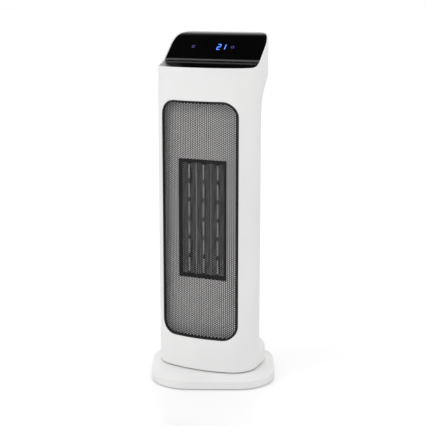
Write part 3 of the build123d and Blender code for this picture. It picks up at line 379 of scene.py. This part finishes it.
# Inner panel: the white baffle behind the outlet, with the window for the element in its middle.
# Sheet steel under matt white paint, with the faint orange-peel of a sprayed coat.
paint_white = (0.94, 0.94, 0.935, 1)
paint_white_shade = (0.91, 0.91, 0.905, 1)
white_paint = grained(
    "white_paint", paint_white, paint_white_shade,
    roughness=0.55, patch=0.03, grain=0.0012, depth=0.00002,
)
dress(white_paint, "inner_panel")

# Outlet trim: the thin black frame that the perforated sheet sits in.
# Satin black moulding, clipped into the front shell's opening.
trim_black = (0.012, 0.012, 0.013, 1)
trim_black_worn = (0.022, 0.022, 0.023, 1)
low_sheen = 1.25


def set_sheen(finish, refraction):
    """Sets how much the surface mirrors, by its index of refraction."""
    finish.node_tree.nodes["Principled BSDF"].inputs["IOR"].default_value = refraction


outlet_trim = grained(
    "outlet_trim", trim_black, trim_black_worn,
    roughness=0.4, patch=0.03, grain=0.0005, depth=0.00001,
)
set_sheen(outlet_trim, low_sheen)
dress(outlet_trim, "grille_frame")

# Perforated outlet sheet: thousands of small holes in staggered columns, bowed like the front.
# Thin steel under satin black powder coat, punched flat, rolled to the bow and held by the trim.
sheet_thickness = 0.0006
hole_columns = 20
hole_sides = 6
radii_per_column = 1.5
plain_edge = 0.0003
web_width = 0.00078
bow_radius = 0.2192
bow_corner = 0.0432
sheet_corner = 0.02325
corner_steps = 12
edge_cuts = 60
shell_corner = 0.044
coat_black = (0.007, 0.007, 0.008, 1)
coat_black_worn = (0.014, 0.014, 0.015, 1)
sheet_coat = grained(
    "sheet_coat", coat_black, coat_black_worn,
    roughness=0.45, patch=0.02, grain=0.0004, depth=0.000015,
)
set_sheen(sheet_coat, low_sheen)
sheet_low, sheet_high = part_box("front_grille")
half_width = (sheet_high.x - sheet_low.x) / 2
half_height = (sheet_high.z - sheet_low.z) / 2
sheet_middle = (sheet_high.z + sheet_low.z) / 2
column_step = (half_width - plain_edge) / (hole_columns + 1 / radii_per_column)
cell_radius = column_step / radii_per_column
cell_slack = cell_radius / 8
merge_reach = column_step / 100
hole_step = cell_radius * sqrt(3)
hole_rows = int(half_height / hole_step)


def past_outline(across, up):
    """How far a point of the flat sheet lies beyond the places where its corners are centred."""
    past_side = max(abs(across) - (half_width - sheet_corner), 0)
    past_end = max(abs(up) - (half_height - sheet_corner), 0)
    return past_side, past_end


def draw_inside(vert):
    """Moves a point that lies too near the sheet's rounded outline back inside it."""
    past_side, past_end = past_outline(vert.co.x, vert.co.y)
    past = hypot(past_side, past_end)
    excess = past - (sheet_corner - plain_edge)
    if excess > 0:
        back = excess / past
        vert.co.x -= copysign(past_side * back, vert.co.x)
        vert.co.y -= copysign(past_end * back, vert.co.y)


bow_centre = sheet_low.y + bow_radius
corner_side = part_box("front_shell")[1].x - shell_corner
corner_back = bow_centre - sqrt((bow_radius - bow_corner) ** 2 - corner_side ** 2)
bow_turn = atan2(corner_side, bow_centre - corner_back)


def bow_depth(across):
    """How far back the bowed front lies at a distance from the middle."""
    if abs(across) <= bow_radius * sin(bow_turn):
        return bow_centre - sqrt(bow_radius ** 2 - across ** 2)
    return corner_back - sqrt(bow_corner ** 2 - (abs(across) - corner_side) ** 2)


def repeat_all(shape, step, copies):
    """Lays copies of all that the shape holds in a row, one step apart."""
    everything = shape.verts[:] + shape.edges[:] + shape.faces[:]
    bmesh.ops.spin(shape, geom=everything, axis=(0, 0, 1), dvec=step, steps=copies, use_duplicate=True)


sheet = bmesh.new()
first_cell = Matrix.Translation((-hole_columns * column_step, -hole_rows * hole_step, 0))
flat_top = Matrix.Rotation(pi / hole_sides, 4, "Z")
bmesh.ops.create_circle(
    sheet, cap_ends=True, segments=hole_sides, radius=cell_radius, matrix=first_cell @ flat_top
)
repeat_all(sheet, (column_step, hole_step / 2, 0), 1)
repeat_all(sheet, (0, hole_step, 0), 2 * hole_rows)
repeat_all(sheet, (2 * column_step, 0, 0), hole_columns)
whole_enough = sheet_corner - plain_edge - cell_slack
spare = [
    cell for cell in sheet.faces
    if hypot(*past_outline(*cell.calc_center_median().xy)) > whole_enough
]
bmesh.ops.delete(sheet, geom=spare, context="FACES")
bmesh.ops.remove_doubles(sheet, verts=sheet.verts[:], dist=merge_reach)
for vert in sheet.verts:
    draw_inside(vert)
cells = sheet.faces[:]
ragged_edges = [edge for edge in sheet.edges if edge.is_boundary]

sheet_size = Matrix.Diagonal((half_width, half_height, 1, 1))
corners = bmesh.ops.create_grid(sheet, x_segments=1, y_segments=1, size=1, matrix=sheet_size)["verts"]
bmesh.ops.bevel(
    sheet, geom=corners, offset=sheet_corner, affect="VERTICES",
    segments=corner_steps, profile=0.5, material=-1,
)
blank = max(sheet.faces, key=lambda face: face.calc_area())
long_edges = [edge for edge in blank.edges if edge.calc_length() > sheet_corner]
bmesh.ops.delete(sheet, geom=[blank], context="FACES_ONLY")
bmesh.ops.subdivide_edges(sheet, edges=long_edges, cuts=edge_cuts)
outline = [edge for edge in sheet.edges if edge.is_wire]
bmesh.ops.triangle_fill(sheet, use_beauty=True, edges=ragged_edges + outline, normal=(0, 0, 1))
bmesh.ops.inset_individual(sheet, faces=cells, thickness=web_width / 2, use_even_offset=True)
bmesh.ops.delete(sheet, geom=cells, context="FACES_ONLY")
backs = bmesh.ops.extrude_face_region(sheet, geom=sheet.faces[:], use_keep_orig=True)
bmesh.ops.translate(sheet, verts=moved_points(backs), vec=(0, 0, -sheet_thickness))
bmesh.ops.recalc_face_normals(sheet, faces=sheet.faces[:])
stand_up = Matrix.Translation((0, 0, sheet_middle)) @ Matrix.Rotation(pi / 2, 4, "X")
bmesh.ops.transform(sheet, matrix=stand_up, verts=sheet.verts[:])
for vert in sheet.verts:
    vert.co.y += bow_depth(vert.co.x)
perforated_sheet = add_piece("perforated_sheet", sheet, sheet_coat, "tower")
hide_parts("front_grille")

# Hand recess and control panel: a black liner to lift the tower by, and the sloped panel over it.
# Polished acrylic, piano black with faint wipe marks; its lip and the liner are left satin, and below
# the lip's top the panel is painted a lighter grey as a painted highlight.
gloss_black = (0.0010, 0.0010, 0.0012, 1)
gloss_black_wiped = (0.0018, 0.0018, 0.0020, 1)
lip_top = 0.5549
lip_fade = 0.0012
lip_highlight_grey = (0.085, 0.084, 0.087, 1)
lip_roughness = 0.38
piano_black = grained(
    "piano_black", gloss_black, gloss_black_wiped,
    roughness=0.10, patch=0.05, grain=0.004, depth=0.0000004,
)
# Below the lip's top the panel is satin, and its lighter grey there is a painted highlight.
polished = step_at(piano_black, height_on(piano_black), lip_top, lip_fade)
part_below(piano_black, polished, "Base Color", lip_highlight_grey)
part_below(piano_black, polished, "Roughness", lip_roughness)
dress(piano_black, "control_panel")

liner_black = (0.018, 0.018, 0.019, 1)
liner_black_worn = (0.028, 0.028, 0.029, 1)
satin_liner = grained(
    "satin_liner", liner_black, liner_black_worn,
    roughness=0.34, patch=0.03, grain=0.0008, depth=0.000006,
)
dress(satin_liner, "hand_recess")

# Display: two seven-bar figures and two key lights shining up through the panel.
# Blue light-emitting bars behind the smoked acrylic, flush with its surface. Each bar is given by its
# steps across and up from the figure's middle, and by whether it stands upright.
figure_height = 0.0135
figure_width = 0.0068
figure_gap = 0.0024
figure_glow = 1.1
bar_width = 0.0016
bar_gap = 0.00096
bar_point_share = 0.42
bar_thickness = 0.0001
display_across = 0.0085
display_back = 0.0153
well_above = 1.0
glow_patch = 0.004
lit_blue = (0.10, 0.30, 1.0, 1)
lit_blue_deep = (0.05, 0.17, 0.90, 1)
figures = ["abged", "bc"]
bars = {
    "a": (0, 1, False), "b": (1, 0.5, True), "c": (1, -0.5, True), "d": (0, -1, False),
    "e": (-1, -0.5, True), "f": (-1, 0.5, True), "g": (0, 0, False),
}


def glowing(name, first, second, strength):
    """A finish that gives light of its own, a little uneven from place to place."""
    finish = grained(name, first, second, roughness=0.3, patch=0.003, grain=0.001, depth=0.000001)
    surface = finish.node_tree.nodes["Principled BSDF"]
    colour = blend_colours(finish, noise_on(finish, glow_patch, grain_detail), first, second)
    finish.node_tree.links.new(colour, surface.inputs["Emission Color"])
    surface.inputs["Emission Strength"].default_value = strength
    return finish


def place_on(name, start, towards):
    """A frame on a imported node's face, where a line from start meets it: across, up and out of it."""
    _, spot, out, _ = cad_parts[name].ray_cast(Vector(start), Vector(towards))
    side = Vector((1, 0, 0))
    side = (side - out * side.dot(out)).normalized()
    turn = Matrix((side, out.cross(side), out)).transposed().to_4x4()
    return Matrix.Translation(spot) @ turn


def on_panel(across):
    """The place on the panel's slope, in line with the display."""
    return place_on("control_panel", (across, display_back, well_above), (0, 0, -1))


def add_bar(shape, place, length, width, upright):
    """One bar of a figure: a flat strip with pointed ends."""
    size = (width, length, bar_thickness, 1) if upright else (length, width, bar_thickness, 1)
    made = bmesh.ops.create_cube(shape, size=1, matrix=Matrix.Diagonal(size))
    edges = {edge for vert in made["verts"] for edge in vert.link_edges}
    standing = [e for e in edges if abs(e.verts[0].co.z - e.verts[1].co.z) > bar_thickness / 2]
    pointed = bmesh.ops.bevel(
        shape, geom=standing, offset=width * bar_point_share, affect="EDGES",
        segments=1, profile=0.5, material=-1,
    )
    points = {vert for vert in made["verts"] if vert.is_valid} | set(pointed["verts"])
    bmesh.ops.transform(shape, matrix=place, verts=list(points))


lit_bars = glowing("lit_bars", lit_blue, lit_blue_deep, figure_glow)
display = bmesh.new()
for count, figure in enumerate(figures):
    middle = (count - (len(figures) - 1) / 2) * (figure_width + figure_gap)
    for letter in figure:
        step_across, step_up, upright = bars[letter]
        shift = Matrix.Translation((
            middle + step_across * (figure_width - bar_width) / 2,
            step_up * (figure_height - bar_width) / 2,
            bar_thickness / 2,
        ))
        length = figure_height / 2 if upright else figure_width
        place = on_panel(display_across) @ shift
        add_bar(display, place, length - bar_gap, bar_width, upright)
add_piece("display_figures", display, lit_bars, "tower")

key_spots = [-0.044, 0.029]
key_radius = 0.0030
key_wall = 0.00084
key_glow = 0.5
ring_sides = 32
key_violet = (0.10, 0.09, 0.30, 1)
key_violet_deep = (0.06, 0.05, 0.20, 1)
key_light = glowing("key_light", key_violet, key_violet_deep, key_glow)


def add_ring(shape, place, radius, wall):
    """A flat ring of the bars' thickness, standing on a place."""
    lifted = Matrix.Translation((0, 0, bar_thickness))
    disc = bmesh.ops.create_circle(
        shape, cap_ends=True, segments=ring_sides, radius=radius, matrix=lifted
    )
    inside = disc["verts"][0].link_faces[0]
    bmesh.ops.inset_individual(shape, faces=[inside], thickness=wall, use_even_offset=True)
    band = {vert for edge in inside.edges for face in edge.link_faces for vert in face.verts}
    bmesh.ops.delete(shape, geom=[inside], context="FACES_ONLY")
    faces = list({face for vert in band for face in vert.link_faces})
    backs = bmesh.ops.extrude_face_region(shape, geom=faces, use_keep_orig=True)
    bmesh.ops.translate(shape, verts=moved_points(backs), vec=(0, 0, -bar_thickness))
    ring = list(band) + moved_points(backs)
    bmesh.ops.transform(shape, matrix=place, verts=ring)


keys = bmesh.new()
for across in key_spots:
    add_ring(keys, on_panel(across), key_radius, key_wall)
bmesh.ops.recalc_face_normals(keys, faces=keys.faces[:])
add_piece("key_lights", keys, key_light, "tower")

# Rear filter: the slotted white cover that pulls off backwards and the fine net stuck inside it.
# Satin ABS like the shells, and woven nylon net, dark, about one thread a millimetre. The threads take
# the place of the net's patches and grain.
thread_step = 0.0011
thread_height = 0.0002
net_dark = (0.020, 0.020, 0.022, 1)
net_thread = (0.090, 0.090, 0.095, 1)
dress(shell_white, "filter_cover")
filter_net = grained(
    "filter_net", net_dark, net_thread,
    roughness=0.7, patch=0.01, grain=0.0005, depth=0.00001,
)
net_tree = filter_net.node_tree
net_place = net_tree.nodes.new("ShaderNodeTexCoord")
crossing = net_tree.nodes.new("ShaderNodeMath")
crossing.operation = "MAXIMUM"
for count, direction in enumerate(("X", "Z")):
    threads = net_tree.nodes.new("ShaderNodeTexWave")
    threads.bands_direction = direction
    threads.inputs["Scale"].default_value = 1 / (pi * thread_step)
    net_tree.links.new(net_place.outputs["Object"], threads.inputs["Vector"])
    net_tree.links.new(threads.outputs["Fac"], crossing.inputs[count])
woven = blend_colours(filter_net, crossing.outputs["Value"], net_dark, net_thread)
net_tree.links.new(woven, net_tree.nodes["Principled BSDF"].inputs["Base Color"])
raise_grain(filter_net, crossing.outputs["Value"], thread_height)
dress(filter_net, "filter_mesh")

# Mains switch marks: the plain line and ring for on and off, printed on the rocker's two halves.
# White pad-printed ink, a little thin where the finger presses.
mark_aside = 0.0038
mark_length = 0.0036
mark_width = 0.0007
mark_radius = 0.0018
clear_of_face = 0.01
ink_white = (0.78, 0.78, 0.77, 1)
ink_worn = (0.55, 0.55, 0.54, 1)
rocker_low, rocker_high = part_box("power_rocker")
rocker_middle = (rocker_low + rocker_high) / 2


def on_rocker(aside):
    """The place on the rocker's face, beside its middle."""
    start = (rocker_middle.x + aside, rocker_high.y + clear_of_face, rocker_middle.z)
    return place_on("power_rocker", start, (0, -1, 0))


mark_ink = grained(
    "mark_ink", ink_white, ink_worn,
    roughness=0.5, patch=0.001, grain=0.0003, depth=0.000004,
)
marks = bmesh.new()
line_place = on_rocker(mark_aside) @ Matrix.Translation((0, 0, bar_thickness / 2))
add_bar(marks, line_place, mark_length, mark_width, True)
add_ring(marks, on_rocker(-mark_aside), mark_radius, mark_width)
bmesh.ops.recalc_face_normals(marks, faces=marks.faces[:])
add_piece("rocker_marks", marks, mark_ink, "rocker")

# Cord gland: the ring in the back of the foot that the mains lead leaves through.
# Black rubber like the feet, pressed into its hole.
dress(rubber, "cord_gland")

# Floor: a wide white sheet under the heater, with a low sheen that mirrors the base a little.
# It looks a touch brighter to the eye than to other light, and keeps the heater's soft shadow.
floor_reach = 40.0
floor_white = (0.86, 0.86, 0.86, 1)
floor_speck = (0.84, 0.84, 0.84, 1)
floor_sheen = 1.7
floor_lift = 0.16
floor_finish = grained(
    "floor_white", floor_white, floor_speck,
    roughness=0.24, patch=0.4, grain=0.01, depth=0.000001,
)
set_sheen(floor_finish, floor_sheen)
floor_tree = floor_finish.node_tree
floor_surface = floor_tree.nodes["Principled BSDF"]
floor_glow = floor_tree.nodes.new("ShaderNodeEmission")
floor_glow.inputs["Strength"].default_value = floor_lift
floor_rays = floor_tree.nodes.new("ShaderNodeLightPath")
floor_lifted = floor_tree.nodes.new("ShaderNodeAddShader")
floor_seen = floor_tree.nodes.new("ShaderNodeMixShader")
floor_out = floor_tree.nodes["Material Output"]
floor_tree.links.new(floor_surface.outputs["BSDF"], floor_lifted.inputs[0])
floor_tree.links.new(floor_glow.outputs["Emission"], floor_lifted.inputs[1])
floor_tree.links.new(floor_rays.outputs["Is Camera Ray"], floor_seen.inputs["Fac"])
floor_tree.links.new(floor_surface.outputs["BSDF"], floor_seen.inputs[1])
floor_tree.links.new(floor_lifted.outputs["Shader"], floor_seen.inputs[2])
floor_tree.links.new(floor_seen.outputs["Shader"], floor_out.inputs["Surface"])
floor_shape = bmesh.new()
bmesh.ops.create_grid(floor_shape, x_segments=1, y_segments=1, size=floor_reach)
floor = make_object("floor", floor_shape, floor_finish)

# Studio: white all round to the eye, an even grey to the object, dim straight overhead so that
# the sloped panel stays black, with a wide soft lamp from the front left and a weaker one at the right.
sky_white = (1, 1, 1, 1)
sky_even = 0.90
sky_mirrored = 1.0
sky_overhead = 0.01
fade_start = 0.45
fade_end = 0.85
world = bpy.data.worlds.new("studio")
bpy.context.scene.world = world
world.use_nodes = True
sky = world.node_tree
sky_light = sky.nodes["Background"]
sky_light.inputs["Color"].default_value = sky_white
sky_place = sky.nodes.new("ShaderNodeTexCoord")
sky_parts = sky.nodes.new("ShaderNodeSeparateXYZ")
sky_fade = sky.nodes.new("ShaderNodeMapRange")
sky_fade.interpolation_type = "SMOOTHSTEP"
sky_fade.inputs["From Min"].default_value = fade_start
sky_fade.inputs["From Max"].default_value = fade_end
sky_fade.inputs["To Min"].default_value = sky_mirrored
sky_fade.inputs["To Max"].default_value = sky_overhead
sky_rays = sky.nodes.new("ShaderNodeLightPath")
sky_in_gloss = sky.nodes.new("ShaderNodeMix")
sky_in_gloss.inputs["A"].default_value = sky_even
sky_straight = sky.nodes.new("ShaderNodeMath")
sky_straight.operation = "MAXIMUM"
sky_strength = sky.nodes.new("ShaderNodeMath")
sky_strength.operation = "MAXIMUM"
sky.links.new(sky_place.outputs["Generated"], sky_parts.inputs["Vector"])
sky.links.new(sky_parts.outputs["Z"], sky_fade.inputs["Value"])
sky.links.new(sky_rays.outputs["Is Glossy Ray"], sky_in_gloss.inputs["Factor"])
sky.links.new(sky_fade.outputs["Result"], sky_in_gloss.inputs["B"])
sky.links.new(sky_rays.outputs["Is Camera Ray"], sky_straight.inputs[0])
sky.links.new(sky_rays.outputs["Is Transmission Ray"], sky_straight.inputs[1])
sky.links.new(sky_straight.outputs["Value"], sky_strength.inputs[0])
sky.links.new(sky_in_gloss.outputs["Result"], sky_strength.inputs[1])
sky.links.new(sky_strength.outputs["Value"], sky_light.inputs["Strength"])

lamp_size = 1.6
left_spot = (-1.6, -1.8, 1.5)
left_power = 16
right_spot = (2.2, -0.6, 1.3)
right_power = 8
tower_middle = (0, 0, cad_box[1][2] / 2)


def soft_lamp(name, spot, power):
    """A square soft lamp at a spot, facing the tower's middle."""
    lamp = bpy.data.lights.new(name, "AREA")
    lamp.size = lamp_size
    lamp.energy = power
    holder = bpy.data.objects.new(name, lamp)
    holder.location = spot
    holder.rotation_euler = (Vector(tower_middle) - Vector(spot)).to_track_quat("-Z", "Y").to_euler()
    bpy.context.scene.collection.objects.link(holder)


soft_lamp("soft_lamp_left", left_spot, left_power)
soft_lamp("soft_lamp_right", right_spot, right_power)

# Camera: a long lens a little above the heater's top, turned to its right front and dipped a little.
# Its length is given in picture points, as worked out from the photograph's own perspective.
picture_side = 426
lens_pixels = 1014.2
lens_shift = -0.06
sensor = 36.0
camera_height = 0.660
camera_away = 1.7311
camera_aside = 0.0273
view_turn = radians(23)
view_yaw = radians(0.915)
view_drop = radians(10.67)
camera = bpy.data.cameras.new("camera")
camera.sensor_width = sensor
camera.lens = lens_pixels / picture_side * sensor
camera.shift_y = lens_shift
viewer = bpy.data.objects.new("camera", camera)
viewer.location = (
    camera_aside * cos(view_turn) + camera_away * sin(view_turn),
    camera_aside * sin(view_turn) - camera_away * cos(view_turn),
    camera_height,
)
viewer.rotation_euler = (pi / 2 - view_drop, 0, view_turn + view_yaw)
bpy.context.scene.collection.objects.link(viewer)
bpy.context.scene.camera = viewer
bpy.context.scene.view_settings.view_transform = "Standard"
